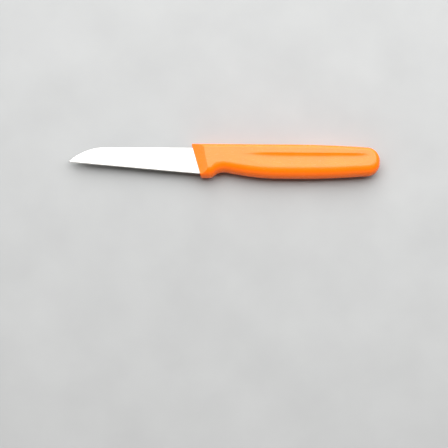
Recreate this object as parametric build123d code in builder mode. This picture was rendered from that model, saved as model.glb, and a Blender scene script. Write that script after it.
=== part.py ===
from build123d import *
import os
from math import cos, radians, sin, sqrt, tan

os.makedirs("parts", exist_ok=True)

# A paring knife with a straight edge: a stamped and ground steel blade whose tang is
# buried in a handle moulded in one piece around it.
# The knife lies on its side. +X runs from the point to the butt, +Y from the edge to the
# spine, and +Z up through the thickness.
# The origin is on the side that the knife lies on, where finger and thumb pinch it:
# just behind the bolster, on the smooth land ahead of the thumb hollow.
# Lengths are in millimetres and angles in degrees.

# Blade
edge_length = 80.5
heel_height = 16.1
point_drop = 9.3
point_reach = 23.2
blade_thickness = 1.2
edge_thickness = 0.3
bevel_width = 0.55
edge_land = 0.04
blade_drop = 2.3

# Seat of the blade in the handle, and its tang
seat_depth = 3.0
tang_drop = 5.0
tang_height = 8.4
tang_length = 58.0
tang_corner = 2.0
tang_hole_radius = 1.6
tang_hole_pitch = 17.0
tang_hole_count = 3

# Handle, from the side
handle_length = 114.6
handle_height = 20.9
front_lean = 16.0
throat_angle = 42.0
guard_radius = 4.2
front_corner = 1.8
corner_run_share = 1.6
recess_setback = 19.8
recess_rise = 3.7
recess_radius = 9.0
run_angle = 10.0
swell_share = 0.5
tail_place_share = 0.69
tail_angle = 3.9
tail_share = 0.53
nape_place_share = 0.716
nape_angle = 3.5
nape_share = 0.9
butt_round_share = 0.5

# Handle, from the end
handle_thickness = 11.5
spine_round = 3.6
spine_fullness_share = 0.72
belly_round = 6.6
belly_fullness_share = 0.5523
end_round_share = 0.45
lay_flat_cut = 0.03
fan_start_share = 0.7
hub_share = 0.93
neck_steps_per_radius = 5
body_steps = 16
fan_steps = 10

# Bolster, where each side thins towards the blade
bolster_length = 7.0
bolster_thickness = 5.6
bolster_lean = 11.0
front_ease = 0.4

# Thumb hollow, a long groove in each side with a crisp upper edge
hollow_setback = 20.0
hollow_fade_in = 30.0
hollow_butt_margin = 3.0
hollow_fade_out = 11.0
hollow_drop = 6.0
hollow_dip = 0.6
hollow_belly_margin = 0.15
hollow_end_share = 0.4
hollow_lip = 0.5
hollow_wall_angle = 23.0
hollow_rise_angle = 9.0
hollow_wall_share = 0.34
hollow_rise_share = 0.53
hollow_lift = 0.06
hollow_steps = 24

# Where the origin lies on the handle
pinch_setback = 17.0
pinch_drop = 7.0

overrun = 5.0

# Places that follow from the sizes
mid_z = handle_thickness / 2
spine_y = pinch_drop
belly_y = spine_y - handle_height
front_x = -pinch_setback
butt_x = front_x + handle_length
along_front = Vector(-sin(radians(front_lean)), cos(radians(front_lean)), 0)
behind_front = Vector(cos(radians(front_lean)), sin(radians(front_lean)), 0)
front_plane = Plane((front_x, spine_y, mid_z), x_dir=along_front, z_dir=behind_front)
along_bolster = Vector(-sin(radians(bolster_lean)), cos(radians(bolster_lean)), 0)
behind_bolster = Vector(cos(radians(bolster_lean)), sin(radians(bolster_lean)), 0)
bolster_plane = Plane((front_x, spine_y, mid_z), x_dir=behind_bolster, z_dir=-along_bolster)
bolster_front = Vector(0, bolster_thickness / 2)
bolster_back = Vector(bolster_length * cos(radians(bolster_lean)), handle_thickness / 2)


def front_at(y):
    """The x of the leaning front of the handle at a height."""
    return front_x + (spine_y - y) * tan(radians(front_lean))


def meet(start, angle, other, other_angle):
    """Where two straight lines cross, each given by a point and an angle."""
    a = Vector(cos(radians(angle)), sin(radians(angle)))
    b = Vector(cos(radians(other_angle)), sin(radians(other_angle)))
    gap = Vector(other) - Vector(start)
    along = (gap.X * b.Y - gap.Y * b.X) / (a.X * b.Y - a.Y * b.X)
    return Vector(start) + a * along


def bend_radius(length, angle):
    """The radius of a bend that takes up a length of straight line on each side."""
    return length / tan(radians(angle) / 2)


# Side outline of the handle. The finger recess is a round under the neck, the flank of the
# guard and the run to the belly are its tangents, and the other corners are wide bends.
recess_x = front_x + recess_setback
recess_y = belly_y + recess_rise


def on_recess(angle):
    """The point on the recess's round where its slope is the given angle."""
    across = recess_radius * sin(radians(angle))
    return Vector(recess_x + across, recess_y - recess_radius * (1 - cos(radians(angle))))


belly_foot = (front_x + tail_place_share * handle_length, belly_y)
guard_foot = meet(on_recess(-throat_angle), throat_angle, belly_foot, 0)
recess_peak = meet(on_recess(-throat_angle), throat_angle, on_recess(run_angle), -run_angle)
swell_foot = meet(on_recess(run_angle), -run_angle, belly_foot, 0)
nape_peak = (front_x + nape_place_share * handle_length, spine_y)
butt_top = meet(nape_peak, -nape_angle, (butt_x, 0), 90)
butt_bottom = meet(belly_foot, tail_angle, (butt_x, 0), 90)
butt_radius = butt_round_share * (butt_top.Y - butt_bottom.Y)
nape_bend = nape_share * (butt_x - butt_radius - nape_peak[0])
tail_bend = tail_share * (butt_x - butt_radius - belly_foot[0])
swell_bend = swell_share * (belly_foot[0] - tail_bend - swell_foot.X)
lead_x = front_x - overrun
corner = Vector(front_at(belly_y), belly_y)
corner_top = corner + along_front * front_corner
corner_end = corner + Vector(corner_run_share * front_corner, 0)

with BuildSketch() as side_view:
    with BuildLine():
        FilletPolyline(
            (lead_x, spine_y),
            nape_peak,
            butt_top,
            butt_bottom,
            belly_foot,
            swell_foot,
            recess_peak,
            guard_foot,
            (lead_x, belly_y),
            radius=(
                0,
                bend_radius(nape_bend, nape_angle),
                butt_radius,
                butt_radius,
                bend_radius(tail_bend, tail_angle),
                bend_radius(swell_bend, run_angle),
                recess_radius,
                guard_radius,
                0,
            ),
            close=True,
        )
    make_face()
outline = side_view.face().outer_wire()


def spread(start, end, steps):
    """Evenly spaced stations from start to end, both counted."""
    return [start + (end - start) * step / steps for step in range(steps + 1)]


def outline_end(start, direction):
    """How far the outline is from a point in a direction, and how squarely it crosses."""
    hits = [Vector(hit) for hit in outline.intersect(Axis(start, direction)).vertices()]
    end = max(hits, key=lambda hit: (hit - start).dot(direction))
    return (end - start).dot(direction), outline.tangent_at(end).cross(direction).length


def rounding(size, squareness, height):
    """How far a rounding reaches down a section: more on a leaning outline, and never past
    the middle of a section that is low."""
    square_on = size / squareness
    limit = end_round_share * height
    return (square_on**-4 + limit**-4) ** -0.25


def rounded(tip, foot, fullness, side):
    """Draws a rounding from its tip on the middle plane to its foot on one side."""
    shoulder = foot + (tip - foot) * fullness
    Bezier((tip, 0), (tip, fullness * side), (shoulder, side), (foot, side))


def side_at(x):
    """The handle's side at a station: its top, the ends of the flat, and its bottom."""
    middle, up = Vector(x, 0), Vector(0, 1)
    top, top_squareness = outline_end(middle, up)
    drop, drop_squareness = outline_end(middle, -up)
    flat_top = top - rounding(spine_round, top_squareness, top + drop)
    flat_bottom = rounding(belly_round, drop_squareness, top + drop) - drop
    return top, flat_top, flat_bottom, -drop


def cross_section(x):
    """The handle's cross-section at a station."""
    top, flat_top, flat_bottom, bottom = side_at(x)
    with BuildSketch(Plane((x, 0, mid_z), x_dir=(0, 1, 0), z_dir=(1, 0, 0))) as section:
        with BuildLine():
            for side in (half_thickness, -half_thickness):
                rounded(top, flat_top, spine_fullness_share, side)
                Line((flat_top, side), (flat_bottom, side))
                rounded(bottom, flat_bottom, belly_fullness_share, side)
        make_face()
    return section.sketch


def fan_section(turn):
    """The butt's section from its hub outwards, in a direction from straight down at -90 to
    straight up at 90, while its rounding changes from the belly's to the spine's."""
    outwards = Vector(cos(radians(turn)), sin(radians(turn)))
    share = ease((turn + 90) / 180)
    size = belly_round + (spine_round - belly_round) * share
    fullness = belly_fullness_share + (spine_fullness_share - belly_fullness_share) * share
    tip, squareness = outline_end(hub, outwards)
    foot = tip - rounding(size, squareness, hub_height)
    plane = Plane(hub + Vector(0, 0, mid_z), x_dir=outwards, z_dir=outwards.rotate(Axis.Z, -90))
    with BuildSketch(plane) as section:
        with BuildLine():
            for side in (half_thickness, -half_thickness):
                Line((fan_start, side), (foot, side))
                rounded(tip, foot, fullness, side)
            Line((fan_start, half_thickness), (fan_start, -half_thickness))
        make_face()
    return section.sketch


def ease(share):
    """A share from 0 to 1 that starts and ends gently."""
    share = min(share, 1)
    return share * share * (3 - 2 * share)


# The handle is lofted in three stretches: the neck with the guard and the finger recess, the
# long body, so gently curved that straight steps serve, and the round butt, whose sections
# stand like a fan round its hub
half_thickness = mid_z + lay_flat_cut
run_end = on_recess(run_angle).X
neck_step = recess_radius / neck_steps_per_radius
body_start = run_end + 2 * neck_step
neck = spread(lead_x, body_start, round((body_start - lead_x) / neck_step))
hub_x = butt_x - butt_radius
hub_rise = outline_end(Vector(hub_x, 0), Vector(0, 1))[0]
hub_fall = outline_end(Vector(hub_x, 0), Vector(0, -1))[0]
hub = Vector(hub_x, (hub_rise - hub_fall) / 2)
hub_height = hub_rise + hub_fall
hub_flat = hub_height / 2 - rounding(belly_round, 1, hub_height)
fan_start = fan_start_share * hub_flat
body = spread(body_start, hub_x, body_steps)
fan = spread(-90, 90, fan_steps)

# Thumb hollows, lofted through sections whose depth eases in and out
hollow_x = front_x + hollow_setback
hollow_end_x = butt_x - hollow_butt_margin
hollow_stations = spread(hollow_x, hollow_end_x, hollow_steps)


def hollow_section(x):
    """What the thumb hollow takes from the upper side of the handle at a station."""
    full = ease((x - hollow_x) / hollow_fade_in) * ease((hollow_end_x - x) / hollow_fade_out)
    edge_y = spine_y - hollow_drop - hollow_dip * (1 - full)
    reach = edge_y - side_at(x)[2] - hollow_belly_margin
    width = reach * (hollow_end_share + (1 - hollow_end_share) * full)
    wall = tan(radians(hollow_wall_angle))
    rise = tan(radians(hollow_rise_angle))

    def at(down, deep):
        return (edge_y - down, mid_z + hollow_lift * (1 - full) - deep * full)

    upper = at(-hollow_lip, -hollow_lip * wall)
    lower = at(width + hollow_lip, -hollow_lip * rise)
    wall_reach = hollow_wall_share * width
    rise_reach = hollow_rise_share * width
    outside = mid_z + overrun
    with BuildSketch(Plane((x, 0, mid_z), x_dir=(0, 1, 0), z_dir=(1, 0, 0))) as section:
        with BuildLine():
            Bezier(
                upper,
                at(wall_reach, wall_reach * wall),
                at(width - rise_reach, rise_reach * rise),
                lower,
            )
            Polyline(lower, (lower[0], outside), (upper[0], outside), upper)
        make_face()
    return section.sketch


with BuildPart() as hollows:
    loft([hollow_section(x) for x in hollow_stations], ruled=True)
    mirror(about=Plane.XY.offset(mid_z))

# Blade, flat and full in outline, with the tang behind it
blade_spine_y = spine_y - blade_drop
heel_y = blade_spine_y - heel_height
point_y = blade_spine_y - point_drop
heel_x = front_at(heel_y)
point_x = heel_x - sqrt(edge_length**2 - (heel_y - point_y) ** 2)
along_edge = (Vector(heel_x, heel_y) - Vector(point_x, point_y)).normalized()
across_edge = Vector(-along_edge.Y, along_edge.X)
tang_top = spine_y - tang_drop
tang_bottom = tang_top - tang_height
tang_end_x = front_at(tang_top) + seat_depth + tang_length

# What the grinding takes from one side: a full-height bevel from edge to spine that ends in
# the seat, and a short steeper one that makes the cutting edge
edge_plane = Plane((heel_x, heel_y, mid_z), x_dir=across_edge, z_dir=-along_edge)
grind_height = heel_height * along_edge.X
grind_slope = (blade_thickness - edge_thickness) / 2 / (grind_height - bevel_width)
bevel_slope = (edge_thickness - edge_land) / 2 / bevel_width
seat_plane = Plane(
    (front_x + seat_depth, spine_y, mid_z), x_dir=along_front, z_dir=behind_front
)

with BuildPart() as grinding:
    with BuildSketch(edge_plane):
        with BuildLine():
            top_half = blade_thickness / 2 + overrun * grind_slope
            Polyline(
                (-overrun, edge_land / 2 - overrun * bevel_slope),
                (bevel_width, edge_thickness / 2),
                (grind_height + overrun, top_half),
                (grind_height + overrun, top_half + overrun),
                (-overrun, top_half + overrun),
                close=True,
            )
        make_face()
        mirror(about=Plane.XZ)
    extrude(amount=2 * edge_length, both=True)
    split(bisect_by=seat_plane, keep=Keep.BOTTOM)

with BuildPart() as blade:
    with BuildSketch(Plane.XY.offset(mid_z)):
        with BuildLine():
            curve = TangentArc(
                (point_x + point_reach, blade_spine_y), (point_x, point_y), tangent=(-1, 0)
            )
            Polyline(
                curve @ 1,
                (heel_x, heel_y),
                (heel_x + seat_depth, heel_y),
                (front_at(tang_bottom) + seat_depth, tang_bottom),
                (tang_end_x, tang_bottom),
                (tang_end_x, tang_top),
                (front_at(tang_top) + seat_depth, tang_top),
                (front_at(blade_spine_y) + seat_depth, blade_spine_y),
                curve @ 0,
            )
        make_face()
        with Locations((tang_end_x - tang_hole_pitch, (tang_top + tang_bottom) / 2)):
            with GridLocations(
                tang_hole_pitch, 0, tang_hole_count, 1, align=(Align.MAX, Align.CENTER)
            ):
                Circle(tang_hole_radius, mode=Mode.SUBTRACT)
    extrude(amount=blade_thickness / 2, both=True)
    fillet(blade.edges().filter_by(Axis.Z).group_by(Axis.X)[-1], radius=tang_corner)
    add(grinding.part, mode=Mode.SUBTRACT)

with BuildPart() as handle:
    loft([cross_section(x) for x in neck])
    loft([cross_section(x) for x in body], ruled=True)
    loft([fan_section(turn) for turn in fan])
    with BuildSketch(Plane.XY.offset(-lay_flat_cut)):
        with Locations(hub):
            Circle(hub_share * hub_flat)
    extrude(amount=2 * half_thickness)
    # The sides are trued to two flats, so that the knife lies still
    split(bisect_by=Plane.XY, keep=Keep.TOP)
    split(bisect_by=Plane.XY.offset(handle_thickness), keep=Keep.BOTTOM)
    add(hollows.part, mode=Mode.SUBTRACT)
    # The bolster's sides lean in towards the blade
    with BuildSketch(bolster_plane):
        with BuildLine():
            beyond = bolster_back + (bolster_back - bolster_front).normalized() * overrun
            Polyline(
                bolster_front,
                beyond,
                (-overrun, beyond.Y),
                (-overrun, bolster_front.Y),
                close=True,
            )
        make_face()
        mirror(about=Plane.XZ)
    extrude(amount=2 * handle_height, both=True, mode=Mode.SUBTRACT)
    # The front leans, square to the sides, with its lower corner rounded off
    split(bisect_by=front_plane, keep=Keep.TOP)
    with BuildSketch(Plane.XY.offset(mid_z)):
        with BuildLine():
            round_off = TangentArc(corner_top, corner_end, tangent=-along_front)
            Polyline(
                round_off @ 1,
                (corner_end.X, belly_y - overrun),
                (lead_x, belly_y - overrun),
                (lead_x, corner_top.Y),
                round_off @ 0,
            )
        make_face()
    extrude(amount=handle_thickness, both=True, mode=Mode.SUBTRACT)
    front = handle.faces().filter_by(front_plane).sort_by(SortBy.AREA)[-1]
    fillet(front.edges(), radius=front_ease)
    # The plastic closes round the tang and runs through its holes
    add(blade.part, mode=Mode.SUBTRACT)

handle.part.label = "handle"
export_step(handle.part, "parts/handle.step")
blade.part.label = "blade"
export_step(blade.part, "parts/blade.step")
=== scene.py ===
from math import radians

import bpy
from mathutils import Matrix, Vector


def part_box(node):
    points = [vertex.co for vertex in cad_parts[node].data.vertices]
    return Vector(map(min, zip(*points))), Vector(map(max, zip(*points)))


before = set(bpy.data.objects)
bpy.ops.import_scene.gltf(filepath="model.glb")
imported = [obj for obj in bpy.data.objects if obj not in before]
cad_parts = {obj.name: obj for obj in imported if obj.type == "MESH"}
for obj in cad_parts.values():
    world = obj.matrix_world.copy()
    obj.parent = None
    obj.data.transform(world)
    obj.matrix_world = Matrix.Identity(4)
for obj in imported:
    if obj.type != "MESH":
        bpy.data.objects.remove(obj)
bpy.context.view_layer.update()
scene = bpy.context.scene


# Material nodes. Lengths are in metres, and a noise's scale is in features per metre.


def new_material(name):
    material = bpy.data.materials.new(name)
    material.use_nodes = True
    tree = material.node_tree
    tree.nodes.clear()
    output = tree.nodes.new("ShaderNodeOutputMaterial")
    shader = tree.nodes.new("ShaderNodeBsdfPrincipled")
    tree.links.new(shader.outputs["BSDF"], output.inputs["Surface"])
    return material, tree, shader


def coordinates(tree, scale=(1, 1, 1)):
    """The object's own coordinates. A scale below 1 draws a pattern out along its axis."""
    place = tree.nodes.new("ShaderNodeTexCoord")
    mapping = tree.nodes.new("ShaderNodeMapping")
    mapping.inputs["Scale"].default_value = scale
    tree.links.new(place.outputs["Object"], mapping.inputs["Vector"])
    return mapping.outputs["Vector"]


def noise(tree, vector, scale, detail=2.0):
    node = tree.nodes.new("ShaderNodeTexNoise")
    node.inputs["Scale"].default_value = scale
    node.inputs["Detail"].default_value = detail
    tree.links.new(vector, node.inputs["Vector"])
    return node.outputs["Fac"]


def spread_to(tree, value, low, high, start=0.0, end=1.0):
    """Turns the range from start to end into the range from low to high."""
    node = tree.nodes.new("ShaderNodeMapRange")
    node.inputs["From Min"].default_value = start
    node.inputs["From Max"].default_value = end
    node.inputs["To Min"].default_value = low
    node.inputs["To Max"].default_value = high
    tree.links.new(value, node.inputs["Value"])
    return node.outputs["Result"]


def reckon(tree, operation, first, second=None):
    """Arithmetic on one or two values, each a node's output or a plain number."""
    node = tree.nodes.new("ShaderNodeMath")
    node.operation = operation
    for socket, value in zip(node.inputs, (first, second)):
        if isinstance(value, bpy.types.NodeSocket):
            tree.links.new(value, socket)
        elif value is not None:
            socket.default_value = value
    return node.outputs["Value"]


def blend_colours(tree, value, first, last):
    """A colour between two others. The ends are drawn in, because noise keeps to its middle."""
    node = tree.nodes.new("ShaderNodeValToRGB")
    ends = zip(node.color_ramp.elements, (0.3, 0.7), (first, last))
    for element, place, colour in ends:
        element.position = place
        element.color = (*colour, 1)
    tree.links.new(value, node.inputs["Fac"])
    return node.outputs["Color"]


def bump(tree, height, distance, strength, normal=None):
    node = tree.nodes.new("ShaderNodeBump")
    node.inputs["Distance"].default_value = distance
    node.inputs["Strength"].default_value = strength
    tree.links.new(height, node.inputs["Height"])
    if normal is not None:
        tree.links.new(normal, node.inputs["Normal"])
    return node.outputs["Normal"]


# Materials


def parting_line(tree, middle, half_width):
    """A ridge that runs round a moulding where the halves of its mould met."""
    split = tree.nodes.new("ShaderNodeSeparateXYZ")
    tree.links.new(coordinates(tree), split.inputs["Vector"])
    away = reckon(tree, "ABSOLUTE", reckon(tree, "SUBTRACT", split.outputs["Z"], middle))
    return spread_to(tree, away, low=1.0, high=0.0, end=half_width)


def moulded_plastic(middle):
    """Orange polypropylene, semi-gloss: a fine-grained moulded skin with light scuffs along it."""
    material, tree, shader = new_material("handle_plastic")
    place = coordinates(tree)
    clouds = noise(tree, place, scale=90.0)
    grain = noise(tree, place, scale=2600.0)
    scuffs = noise(tree, coordinates(tree, (0.1, 1.0, 1.0)), scale=3200.0)
    colour = blend_colours(tree, clouds, (0.97, 0.158, 0.001), (1.0, 0.170, 0.002))
    tree.links.new(colour, shader.inputs["Base Color"])
    skin = spread_to(tree, grain, low=0.22, high=0.30)
    scuffed = spread_to(tree, scuffs, low=0.0, high=0.09, start=0.62, end=0.74)
    tree.links.new(reckon(tree, "ADD", skin, scuffed), shader.inputs["Roughness"])
    shader.inputs["IOR"].default_value = 1.43
    normal = bump(tree, grain, distance=0.00002, strength=0.25)
    ridge = parting_line(tree, middle, half_width=0.00016)
    normal = bump(tree, ridge, distance=0.00004, strength=0.6, normal=normal)
    tree.links.new(normal, shader.inputs["Normal"])
    return material


def ground_steel():
    """Steel with fine grinding marks that run from edge to spine, and broader passes."""
    material, tree, shader = new_material("blade_steel")
    shader.inputs["Metallic"].default_value = 1.0
    streaks = noise(tree, coordinates(tree, (1.0, 0.03, 1.0)), scale=6000.0, detail=3.0)
    passes = noise(tree, coordinates(tree, (1.0, 0.02, 1.0)), scale=900.0)
    clouds = noise(tree, coordinates(tree), scale=60.0)
    shade = reckon(tree, "MULTIPLY", reckon(tree, "ADD", clouds, passes), 0.5)
    colour = blend_colours(tree, shade, (0.50, 0.490, 0.467), (0.58, 0.569, 0.543))
    tree.links.new(colour, shader.inputs["Base Color"])
    fine = spread_to(tree, streaks, low=0.18, high=0.38)
    broad = spread_to(tree, passes, low=0.0, high=0.12)
    tree.links.new(reckon(tree, "ADD", fine, broad), shader.inputs["Roughness"])
    normal = bump(tree, streaks, distance=0.000006, strength=0.4)
    tree.links.new(normal, shader.inputs["Normal"])
    return material


def finish(node, material):
    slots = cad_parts[node].data.materials
    slots.clear()
    slots.append(material)


handle_low, handle_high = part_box("handle")
finish("handle", moulded_plastic((handle_low.z + handle_high.z) / 2))
finish("blade", ground_steel())


# Floor


def plain_floor(reach):
    """A square floor that reaches this far from the origin on each side."""
    mesh = bpy.data.meshes.new("floor")
    corners = [(-reach, -reach, 0), (reach, -reach, 0), (reach, reach, 0), (-reach, reach, 0)]
    mesh.from_pydata(corners, [], [(0, 1, 2, 3)])
    floor = bpy.data.objects.new("floor", mesh)
    scene.collection.objects.link(floor)
    material, tree, shader = new_material("floor")
    clouds = noise(tree, coordinates(tree), scale=25.0, detail=3.0)
    colour = blend_colours(tree, clouds, (0.303, 0.307, 0.307), (0.327, 0.331, 0.331))
    tree.links.new(colour, shader.inputs["Base Color"])
    shader.inputs["Roughness"].default_value = 0.8
    mesh.materials.append(material)


plain_floor(reach=4.0)


# Light. A broad soft panel lies overhead and behind the knife, and a fainter one carries it
# down towards the floor. Two faint panels, in front and to the point's side, lift the belly
# and give the steel something to mirror. Places and sizes are in metres, powers in watts.


def soft_light(name, place, target, size, power, colour=(1, 1, 1)):
    data = bpy.data.lights.new(name, "AREA")
    data.shape = "RECTANGLE"
    data.size, data.size_y = size
    data.energy = power
    data.color = colour
    light = bpy.data.objects.new(name, data)
    light.location = place
    light.rotation_euler = (Vector(target) - Vector(place)).to_track_quat("-Z", "Y").to_euler()
    scene.collection.objects.link(light)


KNIFE = (0.0, 0.0, 0.0)
FAINT_WARM = (1.0, 0.84, 0.70)
NEARLY_WHITE = (1.0, 0.96, 0.91)

soft_light("key", (0.53, 1.775, 1.30), (0.53, 1.775, 0.0), (3.55, 3.65), 197.0)
soft_light("back", (0.53, 3.60, 0.75), (0.53, 0.0, 0.75), (3.55, 1.1), 26.0)
soft_light("fill", (0.05, -1.50, 0.52), KNIFE, (3.2, 1.0), 6.0, FAINT_WARM)
soft_light("side", (-1.90, -0.55, 0.65), KNIFE, (2.2, 1.2), 5.0, NEARLY_WHITE)

world = bpy.data.worlds.new("studio")
world.use_nodes = True
background = world.node_tree.nodes["Background"]
background.inputs["Color"].default_value = (1, 1, 1, 1)
background.inputs["Strength"].default_value = 0.05
scene.world = world
scene.view_settings.view_transform = "Standard"


# Camera. The photograph looks down on the knife from the side of the cutting edge.

IMAGE = 448
FOCAL_PIXELS = 1164.0
SENSOR = 36.0
TILT = radians(12.0)
TURN = radians(0.43)
# The front end of the handle's spine: its place, its pixel in the photograph, and how far
# along the line of sight it stands from the camera.
SPINE_FRONT = Vector((-0.0170, 0.0070, 0.0084))
SPINE_FRONT_PIXEL = (191.55, 143.5)
KNIFE_DEPTH = 0.708

camera_data = bpy.data.cameras.new("camera")
camera = bpy.data.objects.new("camera", camera_data)
scene.collection.objects.link(camera)
scene.camera = camera
camera_data.sensor_width = SENSOR
camera_data.lens = SENSOR * FOCAL_PIXELS / IMAGE
camera_data.clip_start = 0.01
turned = Matrix.Rotation(TILT, 4, "X") @ Matrix.Rotation(TURN, 4, "Z")
across = (SPINE_FRONT_PIXEL[0] - IMAGE / 2) / FOCAL_PIXELS * KNIFE_DEPTH
up = (IMAGE / 2 - SPINE_FRONT_PIXEL[1]) / FOCAL_PIXELS * KNIFE_DEPTH
eye = SPINE_FRONT - turned.to_3x3() @ Vector((across, up, -KNIFE_DEPTH))
camera.matrix_world = Matrix.Translation(eye) @ turned
